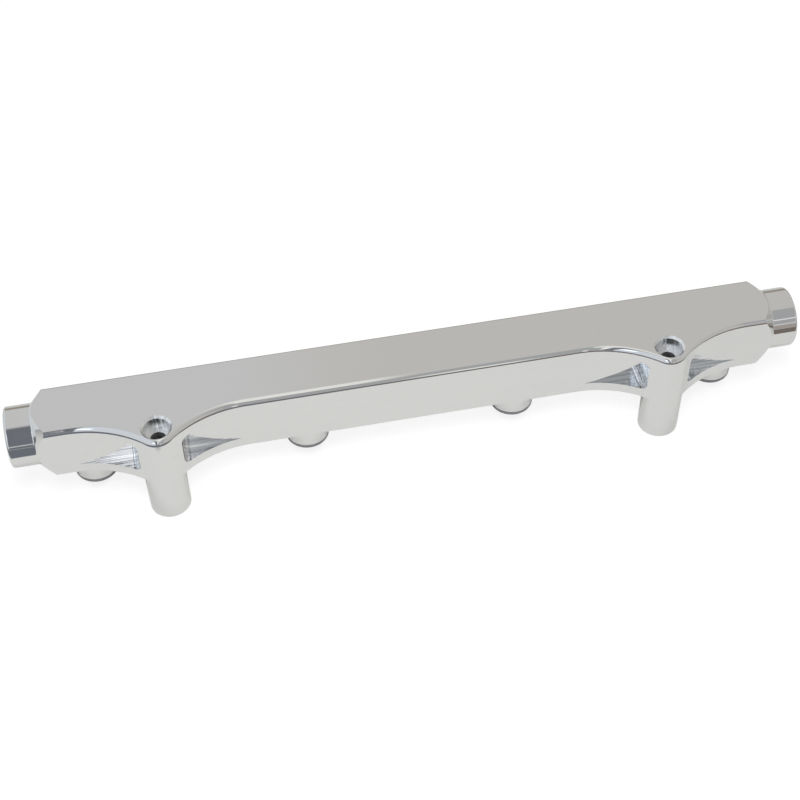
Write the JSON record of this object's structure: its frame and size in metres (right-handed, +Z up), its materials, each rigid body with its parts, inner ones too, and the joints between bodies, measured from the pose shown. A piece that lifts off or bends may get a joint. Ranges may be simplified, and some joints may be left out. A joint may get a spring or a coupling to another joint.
{
  "type": "fuel rail",
  "caption": "Billet fuel rail: a square bar with a drilled gallery, threaded end ports, injector cups below it and bolt posts joined to its face by scalloped, pocketed webs.",
  "frame": {"origin": "midway between the feet of the two mounting posts, on the plane of the feet and on the line of the bolts", "axes": "+X along the rail to its right end, +Y from the mounting posts towards the rail, +Z up, away from the feet"},
  "size_m": [0.36, 0.0432, 0.0515],
  "materials": {
    "rail": "bright machined and polished"
  },
  "bodies": {
    "root": {"rail": "rail"}
  },
  "joints": []
}
